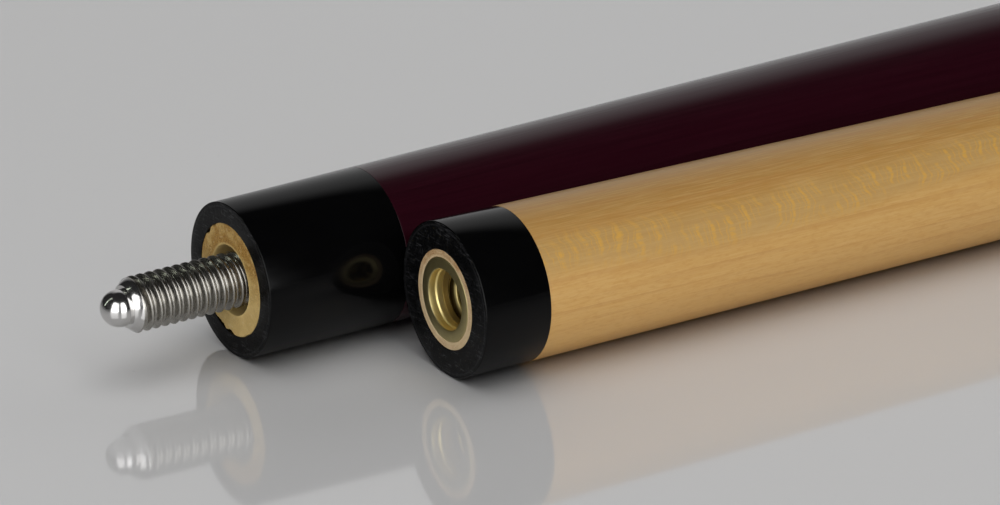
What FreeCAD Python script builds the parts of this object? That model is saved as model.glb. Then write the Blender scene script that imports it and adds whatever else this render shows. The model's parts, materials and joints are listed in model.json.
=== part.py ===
import FreeCAD, Part
import Sketcher
import os

# Two-piece pool cue, laid down unscrewed: the shaft half beside the butt half, joint ends together.
# Every sub-part is turned about its half's own axis.  Local +X runs from the joint face into the
# half, so the joint pin reaches to local -X.  The floor is Z = 0 and both halves lie along +X.

DIMENSIONS = {
    # joint
    "collar_radius": 11.0,
    "rim_break": 0.12,
    "fit_gap": 0.02,
    "thread_pitch": 1.4111,
    "thread_radius": 3.925,
    "thread_root": 3.15,
    "root_flat": 0.316,
    "flank_tangent": 0.57735,
    "thread_play": 0.12,
    "pin_reach": 20.1,
    "ball_radius": 2.62,
    "neck_radius": 2.05,
    "nose_length": 4.55,
    "nose_radius": 3.0,
    "nose_depth": 1.1,
    "relief_start": 1.9,
    "relief_end": 3.0,
    "relief_radius": 3.1,
    "well_radius": 4.95,
    "well_depth": 5.2,
    "shank_radius": 3.7,
    "shank_end": 33.0,
    "cutter_start": 16.75,
    # butt half
    "taper_rise": 4.6,
    "taper_length": 729.0,
    "butt_collar_length": 21.8,
    "core_radius": 8.02,
    "forearm_end": 300.0,
    "ring_width": 4.0,
    "stud_radius": 4.5,
    "stud_half_length": 32.0,
    "wrap_depth": 0.6,
    "handle_end": 612.0,
    "sleeve_end": 705.0,
    "cap_ring_width": 3.0,
    "weight_bore": 6.1,
    "weight_bore_start": 585.0,
    "weight_start": 600.0,
    "weight_length": 62.0,
    "cap_bore": 3.1,
    "cap_recess": 9.0,
    "cap_recess_depth": 3.0,
    "bumper_radius": 13.0,
    "bumper_height": 7.0,
    "screw_radius": 2.4,
    "screw_start": 700.0,
    "screw_head_radius": 4.2,
    "screw_head_height": 3.0,
    "washer_radius": 5.4,
    "washer_thickness": 0.8,
    "bumper_well_radius": 6.0,
    "bumper_well_depth": 5.0,
    # shaft half
    "shaft_collar_length": 10.3,
    "shaft_slope": 0.0095,
    "tenon_radius": 7.04,
    "insert_radius": 5.95,
    "insert_length": 25.0,
    "insert_bore": 3.3,
    "pilot_radius": 4.3,
    "pilot_depth": 1.05,
    "throat_radius": 4.12,
    "throat_start": 1.25,
    "throat_end": 2.1,
    "funnel_end": 2.5,
    "seated_turn": 0.23,
    "mouth_break": 0.15,
    "shaft_bore_depth": 27.0,
    "taper_two_start": 230.0,
    "taper_two_radius": 8.815,
    "taper_three_start": 470.0,
    "taper_three_radius": 7.0,
    "ferrule_start": 704.0,
    "ferrule_end": 729.0,
    "ferrule_radius": 6.4,
    "tip_tenon_radius": 4.1,
    "tip_tenon_length": 18.0,
    "pad_thickness": 0.9,
    "shaft_length": 737.0,
    "crown_start": 733.6,
    # lying position of the two halves
    "half_spacing": 22.6,
    "pin_lead": 20.6,
}

doc = FreeCAD.newDocument("pool_cue")
sheet = doc.addObject("Spreadsheet::Sheet", "dims")
for row, (alias, value) in enumerate(DIMENSIONS.items(), start=1):
    sheet.set(f"A{row}", alias)
    sheet.set(f"B{row}", str(value))
    sheet.setAlias(f"B{row}", alias)
doc.recompute()

# Lengths used in several places, as expressions on the sheet.
SLOPE = "dims.taper_rise / dims.taper_length"
CENTRE_X = "(dims.shaft_length - dims.pin_lead - dims.pin_reach) / 2"
CENTRE_Y = "(dims.half_spacing + dims.taper_rise) / 2"
TILT = f"atan({SLOPE})"
STUD_START = "dims.forearm_end + dims.ring_width / 2 - dims.stud_half_length"
STUD_END = "dims.forearm_end + dims.ring_width / 2 + dims.stud_half_length"
HANDLE_START = "dims.forearm_end + dims.ring_width"
SLEEVE_START = "dims.handle_end + dims.ring_width"
CAP_START = "dims.sleeve_end + dims.cap_ring_width"
CAP_END = "dims.taper_length"
BUMPER_END = f"{CAP_END} + dims.bumper_height"
WELL_FLOOR = f"{BUMPER_END} - dims.bumper_well_depth"
CUTTER_TOP = "0.12"

halves = {"butt": [], "shaft": []}


def butt_radius(x, inset="0"):
    """Outer radius of the butt half at distance x from its joint face, as an expression."""
    return f"dims.collar_radius + ({x}) * {SLOPE} - ({inset})"


def new_body(half, name):
    body = doc.addObject("PartDesign::Body", name)
    body.Label = name
    halves[half].append(body)
    return body


def origin_plane(body, role):
    return next(f for f in body.Origin.OriginFeatures if f.Role == role)


def hold_coordinate(sketch, line, direction, axis, expression, value):
    """Fix one coordinate of a line's start point to a sheet expression."""
    if abs(value) < 1e-9:
        sketch.addConstraint(Sketcher.Constraint("PointOnObject", line, 1, axis))
        return
    index = sketch.addConstraint(Sketcher.Constraint(direction, line, 1, value))
    sketch.setExpression(f"Constraints[{index}]", expression)


def closed_profile(body, name, points):
    """Closed outline in the body's XZ plane; points are (along axis, radius) expressions."""
    sketch = body.newObject("Sketcher::SketchObject", name)
    sketch.AttachmentSupport = (origin_plane(body, "XZ_Plane"), [""])
    sketch.MapMode = "FlatFace"
    doc.recompute()
    corners = [tuple(float(sketch.evalExpression(f"({e}) * 1.0")) for e in p) for p in points]
    count = len(corners)
    for i, (x, y) in enumerate(corners):
        u, v = corners[(i + 1) % count]
        sketch.addGeometry(Part.LineSegment(FreeCAD.Vector(x, y, 0), FreeCAD.Vector(u, v, 0)), False)
    for i in range(count):
        sketch.addConstraint(Sketcher.Constraint("Coincident", i, 2, (i + 1) % count, 1))
    for i, (x_expression, y_expression) in enumerate(points):
        hold_coordinate(sketch, i, "DistanceX", -2, x_expression, corners[i][0])
        hold_coordinate(sketch, i, "DistanceY", -1, y_expression, corners[i][1])
    doc.recompute()
    return sketch


def turned(half, name, points):
    """One lathe-turned sub-part."""
    body = new_body(half, name)
    sketch = closed_profile(body, f"{name}_profile", points)
    turn = body.newObject("PartDesign::Revolution", f"{name}_turning")
    turn.Profile = sketch
    turn.ReferenceAxis = (sketch, ["H_Axis"])
    turn.Angle = 360
    sketch.Visibility = False
    doc.recompute()
    return body


def cut_thread(body, start, height, profile):
    """Cut a right-hand helical groove; profile is a list of (axial offset, radius) expressions."""
    before = body.Shape.Volume
    name = f"{body.Name}_thread"
    sketch = closed_profile(body, f"{name}_cutter", [(f"{start} + ({x})", r) for x, r in profile])
    helix = body.newObject("PartDesign::SubtractiveHelix", name)
    helix.Profile = sketch
    helix.ReferenceAxis = (sketch, ["H_Axis"])
    helix.Mode = 0
    helix.LeftHanded = False
    helix.setExpression("Pitch", "dims.thread_pitch")
    helix.setExpression("Height", height)
    sketch.Visibility = False
    doc.recompute()
    if body.Shape.Volume >= before:
        raise RuntimeError(f"{name} removed nothing")


def hex_socket(body, x, depth, radius):
    """Six-sided key socket sunk into the face at local x, opening toward +X."""
    before = body.Shape.Volume
    socket = body.newObject("PartDesign::SubtractivePrism", f"{body.Name}_socket")
    socket.Polygon = 6
    socket.Circumradius = radius
    socket.Height = depth + 1
    socket.Placement = FreeCAD.Placement(
        FreeCAD.Vector(0, 0, 0), FreeCAD.Rotation(FreeCAD.Vector(0, 1, 0), 90)
    )
    socket.setExpression(".Placement.Base.x", f"({x}) - {depth}")
    doc.recompute()
    if body.Shape.Volume >= before:
        raise RuntimeError(f"{body.Name} socket removed nothing")


def joint_pin():
    nose = "-dims.pin_reach + dims.nose_length"
    ball = "-dims.pin_reach + dims.ball_radius"
    pin = turned("butt", "joint_pin", [
        (ball, "0"),
        (ball, "dims.neck_radius"),
        (f"{nose} - dims.nose_depth", "dims.neck_radius"),
        (f"{nose} - dims.nose_depth", "dims.nose_radius"),
        (nose, "dims.thread_radius"),
        ("dims.relief_start", "dims.thread_radius"),
        ("dims.relief_start", "dims.relief_radius"),
        ("dims.relief_end", "dims.relief_radius"),
        ("dims.relief_end", "dims.thread_radius"),
        ("dims.well_depth - dims.fit_gap", "dims.thread_radius"),
        ("dims.well_depth - dims.fit_gap", "dims.shank_radius"),
        ("dims.shank_end - 1", "dims.shank_radius"),
        ("dims.shank_end", "dims.shank_radius - 1"),
        ("dims.shank_end", "0"),
    ])
    ball_nose = pin.newObject("PartDesign::AdditiveSphere", "joint_pin_ball")
    ball_nose.setExpression("Radius", "dims.ball_radius")
    ball_nose.setExpression(".Placement.Base.x", ball)
    doc.recompute()
    outer = f"dims.root_flat / 2 + (dims.thread_radius + {CUTTER_TOP} - dims.thread_root)"
    outer += " * dims.flank_tangent"
    cut_thread(pin, "-dims.cutter_start", "dims.cutter_start + dims.relief_start + 0.4", [
        ("-dims.root_flat / 2", "dims.thread_root"),
        ("dims.root_flat / 2", "dims.thread_root"),
        (outer, f"dims.thread_radius + {CUTTER_TOP}"),
        (f"-({outer})", f"dims.thread_radius + {CUTTER_TOP}"),
    ])


def shaft_insert():
    insert = turned("shaft", "shaft_insert", [
        ("0", "dims.pilot_radius + dims.mouth_break"),
        ("0", "dims.insert_radius"),
        ("dims.insert_length", "dims.insert_radius"),
        ("dims.insert_length", "dims.insert_bore"),
        ("dims.funnel_end", "dims.insert_bore"),
        ("dims.throat_end", "dims.throat_radius"),
        ("dims.throat_start", "dims.throat_radius"),
        ("dims.pilot_depth", "dims.pilot_radius"),
        ("dims.mouth_break", "dims.pilot_radius"),
    ])
    # The groove is the pin's thread plus play, in step with it when the halves are screwed home.
    tooth = "(dims.thread_pitch - dims.root_flat - 2 * (dims.thread_radius - dims.thread_root)"
    tooth += " * dims.flank_tangent) / 2 + dims.thread_play"
    root = "dims.thread_radius + dims.thread_play"
    inner = f"(dims.insert_bore - {CUTTER_TOP})"
    at_root = f"{tooth} - dims.thread_play * dims.flank_tangent"
    at_inner = f"{tooth} + (dims.thread_radius - {inner}) * dims.flank_tangent"
    start = "dims.cutter_start - dims.fit_gap - (11.5 - dims.seated_turn) * dims.thread_pitch"
    cut_thread(insert, start, "dims.insert_length", [
        (f"-({at_inner})", inner),
        (at_inner, inner),
        (at_root, root),
        (f"-({at_root})", root),
    ])


def butt_joint_collar():
    turned("butt", "butt_joint_collar", [
        ("0", "dims.core_radius + dims.fit_gap"),
        ("0", "dims.collar_radius - dims.rim_break"),
        ("dims.rim_break", butt_radius("dims.rim_break")),
        ("dims.butt_collar_length", butt_radius("dims.butt_collar_length")),
        ("dims.butt_collar_length", "dims.core_radius + dims.fit_gap"),
    ])


def forearm():
    shoulder = "dims.butt_collar_length + dims.fit_gap"
    turned("butt", "forearm", [
        ("0", "dims.well_radius"),
        ("0", "dims.core_radius"),
        (shoulder, "dims.core_radius"),
        (shoulder, butt_radius(shoulder)),
        ("dims.forearm_end", butt_radius("dims.forearm_end")),
        ("dims.forearm_end", "dims.stud_radius + dims.fit_gap"),
        (f"{STUD_START} - 1", "dims.stud_radius + dims.fit_gap"),
        (f"{STUD_START} - 1", "0"),
        ("dims.shank_end + 1", "0"),
        ("dims.shank_end + 1", "dims.shank_radius + dims.fit_gap"),
        ("dims.well_depth", "dims.shank_radius + dims.fit_gap"),
        ("dims.well_depth", "dims.well_radius"),
    ])


def ring(name, start, width, bore, proud="0"):
    """Decorative ring turned flush with the butt's taper."""
    front = f"({start}) + dims.fit_gap"
    back = f"({start}) + {width} - dims.fit_gap"
    turned("butt", name, [
        (front, bore),
        (front, butt_radius(front, proud)),
        (back, butt_radius(back, proud)),
        (back, bore),
    ])


def a_joint_screw():
    turned("butt", "a_joint_screw", [
        (STUD_START, "0"),
        (STUD_START, "dims.stud_radius - 0.8"),
        (f"{STUD_START} + 0.8", "dims.stud_radius"),
        (f"{STUD_END} - 0.8", "dims.stud_radius"),
        (STUD_END, "dims.stud_radius - 0.8"),
        (STUD_END, "0"),
    ])


def handle_core():
    under_wrap = "dims.wrap_depth + dims.fit_gap"
    turned("butt", "handle_core", [
        (HANDLE_START, "dims.stud_radius + dims.fit_gap"),
        (HANDLE_START, butt_radius(HANDLE_START, under_wrap)),
        ("dims.handle_end", butt_radius("dims.handle_end", under_wrap)),
        ("dims.handle_end", "dims.weight_bore + dims.fit_gap"),
        ("dims.weight_bore_start", "dims.weight_bore + dims.fit_gap"),
        ("dims.weight_bore_start", "0"),
        (f"{STUD_END} + 1", "0"),
        (f"{STUD_END} + 1", "dims.stud_radius + dims.fit_gap"),
    ])


def grip_wrap():
    front = f"{HANDLE_START} + dims.fit_gap"
    back = "dims.handle_end - dims.fit_gap"
    turned("butt", "grip_wrap", [
        (front, butt_radius(front, "dims.wrap_depth")),
        (front, butt_radius(front)),
        (back, butt_radius(back)),
        (back, butt_radius(back, "dims.wrap_depth")),
    ])


def butt_sleeve():
    inner = "dims.weight_bore + dims.fit_gap"
    screw_hole = "dims.screw_radius + dims.fit_gap"
    turned("butt", "butt_sleeve", [
        (SLEEVE_START, inner),
        (SLEEVE_START, butt_radius(SLEEVE_START)),
        ("dims.sleeve_end", butt_radius("dims.sleeve_end")),
        ("dims.sleeve_end", screw_hole),
        ("dims.screw_start - 2", screw_hole),
        ("dims.screw_start - 2", inner),
    ])


def butt_cap():
    start = f"{CAP_START} + dims.fit_gap"
    bore = "dims.cap_bore"
    turned("butt", "butt_cap", [
        (start, bore),
        (start, butt_radius(start)),
        (f"{CAP_END} - 0.8", butt_radius(f"{CAP_END} - 0.8")),
        (CAP_END, butt_radius(CAP_END, "0.8")),
        (CAP_END, "dims.cap_recess"),
        (f"{CAP_END} - dims.cap_recess_depth", "dims.cap_recess"),
        (f"{CAP_END} - dims.cap_recess_depth", bore),
    ])


def weight_bolt():
    end = "dims.weight_start + dims.weight_length"
    bolt = turned("butt", "weight_bolt", [
        ("dims.weight_start", "0"),
        ("dims.weight_start", "dims.weight_bore - 1"),
        ("dims.weight_start + 1", "dims.weight_bore - 0.03"),
        (f"{end} - 1", "dims.weight_bore - 0.03"),
        (end, "dims.weight_bore - 1"),
        (end, "0"),
    ])
    hex_socket(bolt, end, 5, 3.5)


def bumper():
    front = f"{CAP_END} + dims.fit_gap"
    plug = "dims.cap_recess - 0.05"
    floor = f"{CAP_END} - dims.cap_recess_depth + dims.fit_gap"
    turned("butt", "bumper", [
        (floor, "dims.cap_bore"),
        (floor, plug),
        (front, plug),
        (front, "dims.bumper_radius"),
        (f"{BUMPER_END} - 3.2", "dims.bumper_radius - 0.3"),
        (f"{BUMPER_END} - 1.2", "dims.bumper_radius - 1.4"),
        (BUMPER_END, "dims.bumper_radius - 4"),
        (BUMPER_END, "dims.bumper_well_radius + 0.6"),
        (f"{BUMPER_END} - 0.6", "dims.bumper_well_radius"),
        (WELL_FLOOR, "dims.bumper_well_radius"),
        (WELL_FLOOR, "dims.cap_bore"),
    ])


def bumper_washer():
    seat = f"{WELL_FLOOR} + dims.fit_gap"
    turned("butt", "bumper_washer", [
        (seat, "dims.screw_radius + 0.2"),
        (seat, "dims.washer_radius"),
        (f"{seat} + dims.washer_thickness", "dims.washer_radius"),
        (f"{seat} + dims.washer_thickness", "dims.screw_radius + 0.2"),
    ])


def bumper_screw():
    seat = f"{WELL_FLOOR} + dims.washer_thickness + 2 * dims.fit_gap"
    top = f"{seat} + dims.screw_head_height"
    screw = turned("butt", "bumper_screw", [
        ("dims.screw_start", "0"),
        ("dims.screw_start", "dims.screw_radius - 1"),
        ("dims.screw_start + 2", "dims.screw_radius"),
        (seat, "dims.screw_radius"),
        (seat, "dims.screw_head_radius"),
        (f"{top} - 0.9", "dims.screw_head_radius"),
        (top, "dims.screw_head_radius - 1.2"),
        (top, "0"),
    ])
    hex_socket(screw, top, 1.8, 1.7)


def shaft_joint_collar():
    end = "dims.shaft_collar_length"
    turned("shaft", "shaft_joint_collar", [
        ("0", "dims.tenon_radius + dims.fit_gap"),
        ("0", "dims.collar_radius - dims.rim_break"),
        ("dims.rim_break", "dims.collar_radius"),
        (end, f"dims.collar_radius - {end} * dims.shaft_slope"),
        (end, "dims.tenon_radius + dims.fit_gap"),
    ])


def shaft():
    shoulder = "dims.shaft_collar_length + dims.fit_gap"
    bore = "dims.insert_radius + dims.fit_gap"
    turned("shaft", "shaft", [
        ("0", bore),
        ("0", "dims.tenon_radius"),
        (shoulder, "dims.tenon_radius"),
        (shoulder, f"dims.collar_radius - ({shoulder}) * dims.shaft_slope"),
        ("dims.taper_two_start", "dims.taper_two_radius"),
        ("dims.taper_three_start", "dims.taper_three_radius"),
        ("dims.ferrule_start", "dims.ferrule_radius"),
        ("dims.ferrule_start", "dims.tip_tenon_radius"),
        ("dims.ferrule_start + dims.tip_tenon_length", "dims.tip_tenon_radius"),
        ("dims.ferrule_start + dims.tip_tenon_length", "0"),
        ("dims.shaft_bore_depth", "0"),
        ("dims.shaft_bore_depth", bore),
    ])


def ferrule():
    seat = "dims.ferrule_start + dims.fit_gap"
    socket = "dims.tip_tenon_radius + dims.fit_gap"
    turned("shaft", "ferrule", [
        (seat, socket),
        (seat, "dims.ferrule_radius"),
        ("dims.ferrule_end", "dims.ferrule_radius"),
        ("dims.ferrule_end", "0"),
        ("dims.ferrule_start + dims.tip_tenon_length + 0.3", "0"),
        ("dims.ferrule_start + dims.tip_tenon_length + 0.3", socket),
    ])


def tip_pad():
    seat = "dims.ferrule_end + dims.fit_gap"
    turned("shaft", "tip_pad", [
        (seat, "0"),
        (seat, "dims.ferrule_radius"),
        (f"{seat} + dims.pad_thickness", "dims.ferrule_radius"),
        (f"{seat} + dims.pad_thickness", "0"),
    ])


def tip():
    """Leather tip; its crown is turned in facets to the curve of a small coin."""
    seat = "dims.ferrule_end + dims.pad_thickness + 2 * dims.fit_gap"
    crown = "dims.shaft_length - dims.crown_start"
    steps = [(1 - (1 - i / 8) ** 2, 1 - i / 8) for i in range(1, 8)]
    arc = [(f"dims.crown_start + ({crown}) * {rise:.4f}", f"dims.ferrule_radius * {out:.4f}")
           for rise, out in steps]
    turned("shaft", "tip", [
        (seat, "0"),
        (seat, "dims.ferrule_radius"),
        ("dims.crown_start", "dims.ferrule_radius"),
        *arc,
        ("dims.shaft_length", "0"),
    ])


joint_pin()
butt_joint_collar()
forearm()
ring("forearm_ring", "dims.forearm_end", "dims.ring_width", "dims.stud_radius + 0.1")
a_joint_screw()
handle_core()
grip_wrap()
ring("handle_ring", "dims.handle_end", "dims.ring_width", "dims.weight_bore + 0.1")
butt_sleeve()
ring("butt_cap_ring", "dims.sleeve_end", "dims.cap_ring_width", "dims.cap_bore")
butt_cap()
weight_bolt()
bumper()
bumper_washer()
bumper_screw()
shaft_joint_collar()
shaft_insert()
shaft()
ferrule()
tip_pad()
tip()

# Each half lies on its taper: the butt's axis rises toward its end, the shaft's falls.
LYING = {
    "butt": (f"-dims.pin_lead - {CENTRE_X}", f"dims.half_spacing - {CENTRE_Y}", -1),
    "shaft": (f"-{CENTRE_X}", f"-{CENTRE_Y}", 1),
}
for half, (x, y, turn) in LYING.items():
    for body in halves[half]:
        body.Placement = FreeCAD.Placement(
            FreeCAD.Vector(0, 0, 0), FreeCAD.Rotation(FreeCAD.Vector(0, turn, 0), 1)
        )
        body.setExpression(".Placement.Base.x", x)
        body.setExpression(".Placement.Base.y", y)
        body.setExpression(".Placement.Base.z", f"dims.collar_radius * cos({TILT})")
        body.setExpression(".Placement.Rotation.Angle", TILT)
doc.recompute()

for item in doc.Objects:
    if "Invalid" in item.State or "Error" in item.State:
        raise RuntimeError(f"{item.Name} did not build: {item.State}")
os.makedirs("parts", exist_ok=True)
for body in halves["butt"] + halves["shaft"]:
    if body.Shape.isNull() or not body.Shape.isValid():
        raise RuntimeError(f"{body.Label} has no valid shape")
    body.Shape.exportStep(f"parts/{body.Label}.step")
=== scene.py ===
import json
import math

import bmesh
import bpy
from mathutils import Matrix, Vector, noise


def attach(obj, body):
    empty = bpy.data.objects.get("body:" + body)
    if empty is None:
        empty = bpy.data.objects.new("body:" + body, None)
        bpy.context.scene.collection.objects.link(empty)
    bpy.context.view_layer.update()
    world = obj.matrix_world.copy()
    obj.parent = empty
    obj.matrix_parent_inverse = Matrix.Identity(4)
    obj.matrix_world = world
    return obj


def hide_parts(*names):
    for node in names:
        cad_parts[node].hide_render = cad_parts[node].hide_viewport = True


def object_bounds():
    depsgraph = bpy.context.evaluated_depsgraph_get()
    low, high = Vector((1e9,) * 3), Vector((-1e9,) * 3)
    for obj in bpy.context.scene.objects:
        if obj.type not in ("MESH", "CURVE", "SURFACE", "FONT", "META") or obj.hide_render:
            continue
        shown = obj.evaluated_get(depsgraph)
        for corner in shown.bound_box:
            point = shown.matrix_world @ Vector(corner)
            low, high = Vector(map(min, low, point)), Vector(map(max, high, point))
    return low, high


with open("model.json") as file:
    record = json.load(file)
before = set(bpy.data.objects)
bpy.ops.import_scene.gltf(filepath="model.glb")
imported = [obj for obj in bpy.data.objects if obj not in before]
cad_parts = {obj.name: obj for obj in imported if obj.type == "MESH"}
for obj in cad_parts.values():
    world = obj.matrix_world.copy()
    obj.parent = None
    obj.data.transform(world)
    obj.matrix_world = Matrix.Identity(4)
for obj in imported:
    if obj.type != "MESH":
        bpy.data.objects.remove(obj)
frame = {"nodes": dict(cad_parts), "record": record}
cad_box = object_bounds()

# A two-piece pool cue, laid down unscrewed on a pale glossy floor.
# Every turned piece is made in its own half's frame: +X runs from the joint face into the half,
# so outlines are lists of (distance from the joint face, radius), or (distance, radius, fillet) where
# a corner is rounded. They are in millimetres, and so are the constants of the cue.

MM = 0.001
TURN = 2 * math.pi

# Joint
COLLAR_RADIUS = 11.0
RIM_BREAK = 0.12
GAP = 0.02
PITCH = 1.4111
THREAD_RADIUS = 3.925
THREAD_ROOT = 3.15
ROOT_FLAT = 0.316
FLANK = 0.57735
THREAD_PLAY = 0.12
PIN_REACH = 20.1
BALL_RADIUS = 2.62
NECK_RADIUS = 2.05
NOSE_LENGTH = 4.55
NOSE_RADIUS = 3.0
NOSE_DEPTH = 1.1
THREAD_START = 16.75
RELIEF_START = 1.9
RELIEF_END = 3.0
RELIEF_RADIUS = 3.1
WELL_RADIUS = 4.95
WELL_DEPTH = 5.2
SHANK_RADIUS = 3.7
SHANK_END = 33.0

# Butt half
BUTT_SLOPE = 4.6 / 729.0
BUTT_COLLAR_END = 21.8
CORE_RADIUS = 8.02
FOREARM_END = 300.0
RING_WIDTH = 4.0
STUD_RADIUS = 4.5
STUD_START = 270.0
HANDLE_END = 612.0
CORD_WIDTH = 0.8
SLEEVE_END = 705.0
CAP_RING_WIDTH = 3.0
CAP_END = 729.0
CAP_RECESS_RADIUS = 9.0
CAP_RECESS_DEPTH = 3.0
WEIGHT_BORE = 6.1
BUMPER_RADIUS = 13.0
BUMPER_END = 736.0
BUMPER_WELL_RADIUS = 6.0
BUMPER_WELL_DEPTH = 5.0
SCREW_BORE = 3.1
SCREW_HOLE_RADIUS = 2.42
SCREW_HOLE_DEPTH = 7.0

# Shaft half
SHAFT_COLLAR_END = 10.3
SHAFT_SLOPE = 0.0095
TENON_RADIUS = 7.04
INSERT_RADIUS = 5.95
INSERT_LENGTH = 25.0
INSERT_BORE = 3.3
PILOT_RADIUS = 4.3
PILOT_DEPTH = 1.05
THROAT_RADIUS = 4.12
THROAT_START = 1.25
THROAT_END = 2.1
FUNNEL_END = 2.5
SEATED_PITCHES = 11.5
SEATED_TURN = 0.23
NOSE_ROOM_START = 15.1
SHAFT_BORE_DEPTH = 27.0
SHAFT_TAPER = [(230.0, 8.815), (470.0, 7.0), (704.0, 6.4)]
FERRULE_TENON_RADIUS = 4.1
FERRULE_TENON_LENGTH = 18.0
FERRULE_END = 729.0
FERRULE_RADIUS = 6.4
PAD_THICKNESS = 0.9
CROWN_START = 733.6
SHAFT_LENGTH = 737.0

# Depth to which the bare wood's end faces are uneven
ROUGH_DEPTH = 1.2

# How finely the pieces are turned
THREAD_SEGMENTS = 120
THREAD_STEPS = 28
TIP_SEGMENTS = 160
TRIM_SEGMENTS = 192
FACE_SEGMENTS = 256

# Studio, in metres and degrees
FLOOR_SIZE = 6.0
FLOOR_LIGHT_SHARE = 0.5
FLOOR_LIGHT_LIFT = 0.4
BACKDROP_RADIUS = 2.0
BACKDROP_HEIGHT = 2.9
BACKDROP_GLOW = 0.5
CAMERA_AZIMUTH = -31.104
CAMERA_ELEVATION = 21.844
CAMERA_ROLL = -1.187
CAMERA_DISTANCE = 1.15746
CAMERA_LENS_MM = 306.68
FACE_IN_VIEW = (-0.007503, -0.006421)


# ---------------------------------------- frames of the two halves

mounts = {mount["name"]: mount for mount in frame["record"]["mounts"]}


def half_frame(round_mount, face_mount):
    """Matrix whose +X runs from the middle of the joint face into the half."""
    outward = Vector(mounts[round_mount]["axis"]).normalized()
    on_axis = Vector(mounts[round_mount]["pos_m"])
    on_face = Vector(mounts[face_mount]["pos_m"])
    centre = on_axis - outward * (on_axis - on_face).dot(outward)
    along = -outward
    up = Vector((0, 0, 1))
    up = (up - along * up.dot(along)).normalized()
    turn = Matrix((along, up.cross(along), up)).transposed()
    return Matrix.Translation(centre) @ turn.to_4x4()


BUTT = half_frame("joint_pin", "butt_joint_face")
SHAFT = half_frame("insert_pilot", "shaft_joint_face")


def butt_radius(x, inset=0.0):
    """Radius of the butt's even taper, less an inset."""
    return COLLAR_RADIUS + x * BUTT_SLOPE - inset


def shaft_radius(x):
    """The shaft's compound taper, eased where one slope meets the next."""
    knots = [(0.0, COLLAR_RADIUS), (SHAFT_COLLAR_END, COLLAR_RADIUS - SHAFT_COLLAR_END * SHAFT_SLOPE)]
    knots += SHAFT_TAPER
    shifts = (-24, -12, 0, 12, 24)
    full_shift_from = 120
    total = 0.0
    for shift in shifts:
        place = min(max(x + shift * min(1.0, x / full_shift_from), 0.0), SHAFT_TAPER[-1][0])
        for (x0, r0), (x1, r1) in zip(knots, knots[1:]):
            if place <= x1:
                total += r0 + (r1 - r0) * (place - x0) / (x1 - x0)
                break
    return total / len(shifts)


# ---------------------------------------- materials


# Sockets of the Mix node for colours
MIX_SHARE, MIX_A, MIX_B, MIX_RESULT = 0, 6, 7, 2


class Finish:
    """A procedural material, written as nested calls on its node tree."""

    def __init__(self, name, half=BUTT, **constants):
        self.turn = half.to_3x3().transposed().to_euler()
        self.material = bpy.data.materials.new(name)
        self.material.use_nodes = True
        self.tree = self.material.node_tree
        self.shader = self.tree.nodes["Principled BSDF"]
        for socket, value in constants.items():
            self.shader.inputs[socket.replace("_", " ")].default_value = value

    def node(self, kind, inputs, output=0, **settings):
        made = self.tree.nodes.new("ShaderNode" + kind)
        for key, value in settings.items():
            setattr(made, key, value)
        for key, value in inputs.items():
            if isinstance(value, bpy.types.NodeSocket):
                self.tree.links.new(value, made.inputs[key])
            else:
                made.inputs[key].default_value = value
        return made.outputs[output]

    def where(self):
        """Position in the object's own frame, in metres."""
        return self.node("TexCoord", {}, output="Object")

    def place(self, stretch=(1, 1, 1), shift=(0, 0, 0)):
        """Position in the half's frame in millimetres, stretched and shifted."""
        turned_back = self.node("Mapping", {"Vector": self.where(), "Rotation": self.turn})
        scale = tuple(s / MM for s in stretch)
        return self.node("Mapping", {"Vector": turned_back, "Scale": scale, "Location": shift})

    def parts(self, vector):
        made = self.tree.nodes.new("ShaderNodeSeparateXYZ")
        self.tree.links.new(vector, made.inputs[0])
        return made.outputs

    def noise(self, vector, scale=1.0, detail=3.0, rough=0.5, distort=0.0):
        inputs = {"Vector": vector, "Scale": scale, "Detail": detail, "Roughness": rough,
                  "Distortion": distort}
        return self.node("TexNoise", inputs)

    def math(self, operation, a, b=0.0):
        return self.node("Math", {0: a, 1: b}, operation=operation)

    def span(self, value, low, high, to_low=0.0, to_high=1.0, smooth=True):
        """The value's way from low to high, carried over to the way from to_low to to_high."""
        kind = "SMOOTHSTEP" if smooth else "LINEAR"
        inputs = {"Value": value, "From Min": low, "From Max": high, "To Min": to_low, "To Max": to_high}
        return self.node("MapRange", inputs, interpolation_type=kind)

    def mix(self, share, a, b):
        """Colour between a and b: a at a share of 0, b at 1."""
        made = self.tree.nodes.new("ShaderNodeMix")
        made.data_type = "RGBA"
        for index, value in ((MIX_SHARE, share), (MIX_A, a), (MIX_B, b)):
            if isinstance(value, bpy.types.NodeSocket):
                self.tree.links.new(value, made.inputs[index])
            else:
                made.inputs[index].default_value = value if index == MIX_SHARE else (*value, 1.0)
        return made.outputs[MIX_RESULT]

    def distance_along(self):
        """Distance from the joint face, in millimetres."""
        return self.parts(self.place())[0]

    def distance_from_axis(self):
        """Radius on the piece, in millimetres."""
        _, y, z = self.parts(self.place())
        return self.math("SQRT", self.math("ADD", self.math("MULTIPLY", y, y), self.math("MULTIPLY", z, z)))

    def bump(self, height, distance, strength, under=None):
        """Normal bent by a height that spans that distance in millimetres, over a coarser bump."""
        inputs = {"Height": height, "Distance": distance * MM, "Strength": strength}
        if under is not None:
            inputs["Normal"] = under
        return self.node("Bump", inputs)

    def set(self, **sockets):
        for socket, value in sockets.items():
            self.tree.links.new(value, self.shader.inputs[socket.replace("_", " ")])


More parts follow.
